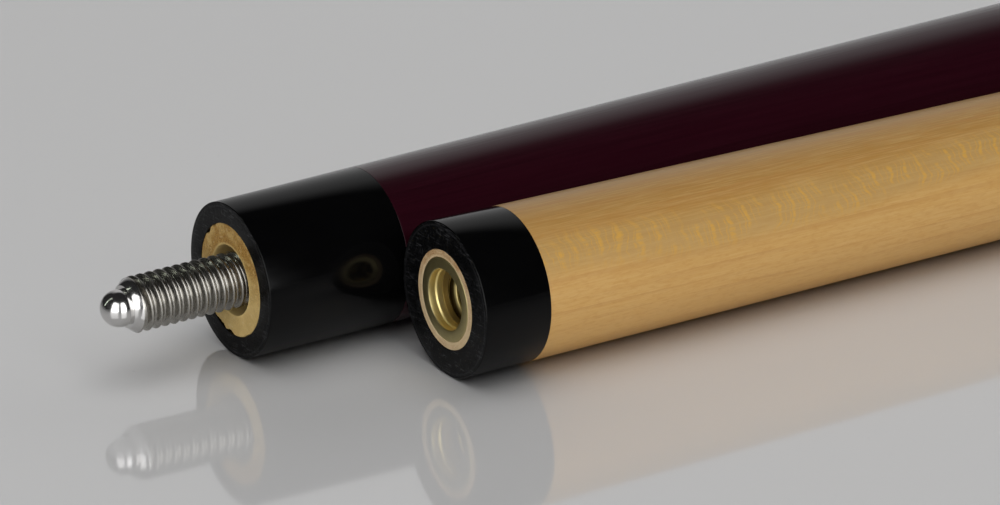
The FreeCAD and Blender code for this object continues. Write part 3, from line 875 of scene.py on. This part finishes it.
def make_shaft():
    """Maple shaft with its bare tenon, which shows as a pale ring round the insert."""
    shoulder = SHAFT_COLLAR_END + GAP
    bore = INSERT_RADIUS + GAP
    end = SHAFT_TAPER[-1][0]
    lip, break_size = 0.06, 0.03
    tenon_end = end + FERRULE_TENON_LENGTH
    knots = [shoulder + break_size, 30, 60, *range(90, 700, 20), end - 0.02]
    outline = [(SHAFT_BORE_DEPTH, bore), (lip, bore),
               *span_points((0.0, bore + lip), (0.0, TENON_RADIUS - lip), 16),
               (0.0, TENON_RADIUS - lip), (lip, TENON_RADIUS), (shoulder, TENON_RADIUS),
               (shoulder, shaft_radius(shoulder) - break_size), *[(x, shaft_radius(x)) for x in knots],
               (end, FERRULE_RADIUS - 0.02), (end, FERRULE_TENON_RADIUS), (tenon_end, FERRULE_TENON_RADIUS),
               (tenon_end, 0.0), (SHAFT_BORE_DEPTH, 0.0)]
    turned("shaft", SHAFT, "shaft_half", outline, [MAPLE, TENON_END], FACE_SEGMENTS,
           bare_end(shoulder, TENON_RADIUS), rough_face(0.03, TENON_RADIUS, 8.1))


def make_ring(node, start, width, bore, material):
    front, back = start + GAP, start + width - GAP
    turned(node, BUTT, "butt_half", [
        (front, bore), (front, butt_radius(front), 0.05), (back, butt_radius(back), 0.05), (back, bore)],
        [material], TRIM_SEGMENTS)


def make_wrap():
    """Linen cord wound round the handle: one long helical ridge over a thin sleeve."""
    start, end = FOREARM_END + RING_WIDTH + GAP, HANDLE_END - GAP
    per_turn, segments = 4, 60
    groove, rim_inset, bore_inset = 0.16, 0.3, 0.55
    turns = int((end - start) / CORD_WIDTH)
    cord = (end - start) / turns
    mesh = bmesh.new()
    rows = []
    for i in range(-per_turn, turns * per_turn + 1):
        hill = abs(math.sin(math.pi * (i / per_turn)))
        row = []
        for k in range(segments):
            place = (i / per_turn + k / segments) * cord
            x = min(max(start + place, start), end)
            radius = butt_radius(x, rim_inset if x in (start, end) else groove * (1.0 - hill ** 0.7))
            row.append(mesh.verts.new(on_ring(x, radius, TURN * k / segments)))
        rows.append(row)
    skin_helix(mesh, rows, per_turn)
    lathe(mesh, [(start, butt_radius(start, rim_inset)), (start, butt_radius(start, bore_inset)),
                 (end, butt_radius(end, bore_inset)), (end, butt_radius(end, rim_inset))],
          segments, closed=False)
    bmesh.ops.remove_doubles(mesh, verts=mesh.verts, dist=1e-4)
    cap_open_ends(mesh)
    finish_piece("grip_wrap_windings", mesh, BUTT, "butt_half", ["grip_wrap"], [LINEN], 180)


def make_butt_end():
    """Butt sleeve, cap and rubber bumper."""
    start = HANDLE_END + RING_WIDTH
    bore_end = SLEEVE_END - SCREW_HOLE_DEPTH
    turned("butt_sleeve", BUTT, "butt_half", [
        (start, WEIGHT_BORE + GAP), (start, butt_radius(start), 0.1),
        (SLEEVE_END, butt_radius(SLEEVE_END), 0.1), (SLEEVE_END, SCREW_HOLE_RADIUS),
        (bore_end, SCREW_HOLE_RADIUS), (bore_end, WEIGHT_BORE + GAP)], [STAINED], TRIM_SEGMENTS)
    start = SLEEVE_END + CAP_RING_WIDTH + GAP
    recess = CAP_END - CAP_RECESS_DEPTH
    turned("butt_cap", BUTT, "butt_half", [
        (start, SCREW_BORE), (start, butt_radius(start), 0.1), (CAP_END, butt_radius(CAP_END) - 0.02, 1.0),
        (CAP_END, CAP_RECESS_RADIUS, 0.1), (recess, CAP_RECESS_RADIUS), (recess, SCREW_BORE)],
        [COLLAR_SIDE], TRIM_SEGMENTS)
    plug = CAP_RECESS_RADIUS - 0.05
    well = BUMPER_END - BUMPER_WELL_DEPTH
    turned("bumper", BUTT, "butt_half", [
        (recess + GAP, SCREW_BORE), (recess + GAP, plug), (CAP_END + GAP, plug),
        (CAP_END + GAP, BUMPER_RADIUS, 0.4), (BUMPER_END - 3.0, BUMPER_RADIUS - 0.35, 3.0),
        (BUMPER_END, BUMPER_RADIUS - 3.6, 3.0), (BUMPER_END, BUMPER_WELL_RADIUS, 0.5),
        (well, BUMPER_WELL_RADIUS, 0.4), (well, SCREW_BORE)], [RUBBER], TRIM_SEGMENTS)


def make_tip():
    """Ferrule, pad, and a leather tip with a pressed, slightly uneven crown."""
    start = SHAFT_TAPER[-1][0] + GAP
    bore, bore_end = FERRULE_TENON_RADIUS + GAP, start + FERRULE_TENON_LENGTH + 0.3
    turned("ferrule", SHAFT, "swinging_tip", [
        (start, bore), (start, FERRULE_RADIUS, 0.04), (FERRULE_END, FERRULE_RADIUS, 0.04),
        (FERRULE_END, 0.0), (bore_end, 0.0), (bore_end, bore)], [FERRULE], TIP_SEGMENTS)
    seat = FERRULE_END + GAP
    turned("tip_pad", SHAFT, "swinging_tip", [
        (seat, 0.0), (seat, FERRULE_RADIUS, 0.05), (seat + PAD_THICKNESS, FERRULE_RADIUS, 0.05),
        (seat + PAD_THICKNESS, 0.0)], [PAD], TIP_SEGMENTS)
    seat += PAD_THICKNESS + GAP
    steps = 16
    crown = SHAFT_LENGTH - CROWN_START
    arc = [(CROWN_START + crown * (1 - (1 - i / steps) ** 2), FERRULE_RADIUS * (1 - i / steps))
           for i in range(steps + 1)]
    arc[-1] = (SHAFT_LENGTH, 0.0)

    def pressed(x, r, angle):
        place = Vector((x * 0.8, r * math.cos(angle), r * math.sin(angle)))
        return 0.0, 0.05 * noise.noise(place * 1.1) - 0.05

    turned("tip", SHAFT, "swinging_tip", [
        (seat, 0.0), (seat, FERRULE_RADIUS, 0.1), (seat + 1.4, FERRULE_RADIUS), *arc],
        [LEATHER], TIP_SEGMENTS, offset=pressed)


make_pin()
make_insert()
make_collars()
make_forearm()
make_shaft()
make_ring("forearm_ring", FOREARM_END, RING_WIDTH, STUD_RADIUS + 0.1, TRIM)
make_ring("handle_ring", HANDLE_END, RING_WIDTH, WEIGHT_BORE + 0.1, TRIM)
make_ring("butt_cap_ring", SLEEVE_END, CAP_RING_WIDTH, SCREW_BORE, PALE_TRIM)
make_wrap()
make_butt_end()
make_tip()

# The nodes that stay hidden inside keep their CAD shape.
for node, material in (("a_joint_screw", PLAIN_STEEL), ("handle_core", BARE), ("weight_bolt", PLAIN_STEEL),
                       ("bumper_washer", PLAIN_STEEL), ("bumper_screw", PLAIN_STEEL)):
    data = frame["nodes"][node].data
    data.materials.clear()
    data.materials.append(material)


# ---------------------------------------- floor, light and camera


def make_floor():
    """Square floor under the cue."""
    mesh = bmesh.new()
    half = FLOOR_SIZE / 2
    mesh.faces.new([mesh.verts.new((x, y, cad_box[0].z))
                    for x, y in ((-half, -half), (half, -half), (half, half), (-half, half))])
    floor = new_object("floor", mesh, [floor_finish()])
    return floor


def lit_group(name, members):
    """Collection of the objects that a lamp shines on."""
    group = bpy.data.collections.new(name)
    for member in members:
        group.objects.link(member)
    return group


def place_lamp(light, place, aim, mirrored, lit):
    """Lamp at a place in metres that faces aim and shines only on the group lit, unseen by the camera."""
    lamp = bpy.data.objects.new(light.name, light)
    lamp.location = place
    lamp.rotation_mode = "QUATERNION"
    lamp.rotation_quaternion = (Vector(aim) - Vector(place)).to_track_quat("-Z", "Y")
    lamp.visible_camera = False
    lamp.visible_glossy = mirrored
    lamp.light_linking.receiver_collection = lit
    bpy.context.scene.collection.objects.link(lamp)


def softbox(name, place, aim, size, radiance, tint=(1, 1, 1), mirrored=True):
    """Rectangular lamp of that size in metres and that brightness, facing aim.

    Only the cue is lit by it and mirrors it. The floor has a weaker and higher twin of it.
    """
    twin_place = Vector(place) + Vector((0.0, 0.0, FLOOR_LIGHT_LIFT))
    for suffix, where, share, seen, lit in (("", place, 1.0, mirrored, CUE),
                                            ("_on_floor", twin_place, FLOOR_LIGHT_SHARE, False, FLOOR)):
        light = bpy.data.lights.new(name + suffix, "AREA")
        light.shape = "RECTANGLE"
        light.size, light.size_y = size
        light.energy = share * radiance * math.pi * size[0] * size[1]
        light.color = tint
        place_lamp(light, where, aim, seen, lit)


def overhead(strength, spread):
    """Even light on the floor from above, which draws the soft shadows under the cue."""
    light = bpy.data.lights.new("overhead", "SUN")
    light.energy = strength
    light.angle = math.radians(spread)
    place_lamp(light, (0.0, 0.0, 2.0), (0.0, 0.0, 0.0), False, FLOOR)


def upright_softbox(name, bearing, distance, width, height, radiance, lift=0.0, **others):
    """Softbox standing on the floor, square to the joint; bearing in degrees from +X towards +Y."""
    joint = SHAFT.translation
    turn = math.radians(bearing)
    middle = lift + height / 2
    place = Vector((joint.x + distance * math.cos(turn), joint.y + distance * math.sin(turn), middle))
    softbox(name, place, Vector((joint.x, joint.y, middle)), (width, height), radiance, **others)


def window(name, bearing, distance, width, height, radiance):
    """Softbox seen twice by the pin's ball: directly, and as its mirror image in the polished floor.

    The floor itself has no mirror image of any lamp. A clear glowing sector on the floor stands in for it.
    """
    upright_softbox(name, bearing, distance, width, height, radiance)
    mesh = bmesh.new()
    half_turn = math.atan(width / 2 / distance)
    rings = [0.012, 0.03, 0.06, 0.12, 0.25, distance]
    columns = 12
    grid = []
    for i in range(columns + 1):
        turn = math.radians(bearing) + half_turn * (2 * i / columns - 1)
        grid.append([mesh.verts.new((reach * math.cos(turn), reach * math.sin(turn), 0.0))
                     for reach in rings])
    for near, far in zip(grid, grid[1:]):
        for j in range(len(rings) - 1):
            mesh.faces.new((near[j], near[j + 1], far[j + 1], far[j]))
    m = Finish(name + "_image")
    length = m.node("VectorMath", {0: m.where()}, output="Value", operation="LENGTH")
    strength = m.span(length, 0.0, 0.16, 0.1 * radiance, 0.75 * radiance, smooth=False)
    both = m.node("AddShader", {0: m.node("Emission", {"Strength": strength}),
                                1: m.node("BsdfTransparent", {})})
    m.tree.links.new(both, m.tree.nodes["Material Output"].inputs["Surface"])
    image = new_object(name + "_image", mesh, [m.material])
    ball = BUTT @ Vector(((BALL_RADIUS - PIN_REACH) * MM, 0, 0))
    image.location = (ball.x, ball.y, cad_box[0].z + 0.001)
    image.visible_camera = image.visible_shadow = image.visible_diffuse = False
    image.light_linking.receiver_collection = CUE


def make_backdrop():
    """Glowing paper sweep behind the cue, brightest near the floor and dark by its top and sides."""
    mesh = bmesh.new()
    sweep = 95
    columns, rows = 48, 12
    grid = []
    for i in range(columns + 1):
        turn = math.radians(sweep * i / columns)
        grid.append([mesh.verts.new((BACKDROP_RADIUS * math.cos(turn), BACKDROP_RADIUS * math.sin(turn),
                                     BACKDROP_HEIGHT * j / rows)) for j in range(rows + 1)])
    for left, right in zip(grid, grid[1:]):
        for j in range(rows):
            mesh.faces.new((left[j], right[j], right[j + 1], left[j + 1]))
    m = Finish("backdrop_paper", Base_Color=(0, 0, 0, 1), Roughness=1.0, Emission_Color=(1, 1, 1, 1))
    x, y, z = m.parts(m.where())
    bearing = m.math("ARCTAN2", y, x)
    sides = m.math("MULTIPLY", m.span(bearing, 0.0, 0.6), m.span(bearing, 1.65, 1.2))
    glow = m.span(z, BACKDROP_HEIGHT * 0.52, BACKDROP_HEIGHT, BACKDROP_GLOW, 0.0)
    m.set(Emission_Strength=m.math("MULTIPLY", glow, sides))
    backdrop = new_object("backdrop", mesh, [m.material])
    backdrop.location = (SHAFT.translation.x, SHAFT.translation.y, cad_box[0].z)
    backdrop.visible_camera = False


def room(seen, glow):
    """The room is a pale tone to the eye and nearly dark as a source of light."""
    world = bpy.data.worlds.new("room")
    world.use_nodes = True
    tree = world.node_tree
    background = tree.nodes["Background"]
    path = tree.nodes.new("ShaderNodeLightPath")
    blend = tree.nodes.new("ShaderNodeMix")
    blend.data_type = "RGBA"
    blend.inputs[MIX_A].default_value = (glow, glow, glow, 1.0)
    blend.inputs[MIX_B].default_value = (seen, seen, seen, 1.0)
    tree.links.new(path.outputs["Is Camera Ray"], blend.inputs[MIX_SHARE])
    tree.links.new(blend.outputs[MIX_RESULT], background.inputs["Color"])
    bpy.context.scene.world = world


def make_camera():
    """Camera whose view has the shaft's joint face a little left of and below its middle."""
    azimuth, elevation, roll = map(math.radians, (CAMERA_AZIMUTH, CAMERA_ELEVATION, CAMERA_ROLL))
    back = Vector((math.sin(azimuth) * math.cos(elevation), -math.cos(azimuth) * math.cos(elevation),
                   math.sin(elevation)))
    right = Vector((0, 0, 1)).cross(back).normalized()
    up = back.cross(right)
    right, up = right * math.cos(roll) + up * math.sin(roll), up * math.cos(roll) - right * math.sin(roll)
    place = SHAFT.translation - right * FACE_IN_VIEW[0] - up * FACE_IN_VIEW[1] + back * CAMERA_DISTANCE
    data = bpy.data.cameras.new("camera")
    data.sensor_width = 36.0
    data.lens = CAMERA_LENS_MM
    data.clip_start = 0.01
    camera = bpy.data.objects.new("camera", data)
    camera.rotation_mode = "QUATERNION"
    camera.matrix_world = Matrix.Translation(place) @ Matrix((right, up, back)).transposed().to_4x4()
    bpy.context.scene.collection.objects.link(camera)
    bpy.context.scene.camera = camera


bpy.context.scene.view_settings.view_transform = "Standard"
CUE = lit_group("cue_receivers", [obj for obj in bpy.data.objects if obj.type == "MESH"])
FLOOR = lit_group("floor_receivers", [make_floor()])
make_backdrop()
room(seen=0.45, glow=0.02)
overhead(strength=0.76, spread=60.0)
window("window_left", bearing=-145.6, distance=0.75, width=0.62, height=0.95, radiance=2.2)
window("window_right", bearing=-90.0, distance=0.75, width=0.42, height=0.9, radiance=3.0)
upright_softbox("wall", bearing=-112.0, distance=1.1, width=1.8, height=0.9, radiance=0.13)
upright_softbox("side_fill", bearing=5.0, distance=1.2, width=0.9, height=0.5, radiance=2.2)
softbox("ceiling", place=(0.1, -0.1, 1.3), aim=(0.0, 0.0, 0.0), size=(0.9, 0.9), radiance=1.3,
        mirrored=False)
upright_softbox("tube", bearing=143.0, distance=0.8, width=0.02, height=1.2, radiance=5.0, lift=0.15,
                tint=(0.92, 1.0, 0.85))
make_camera()
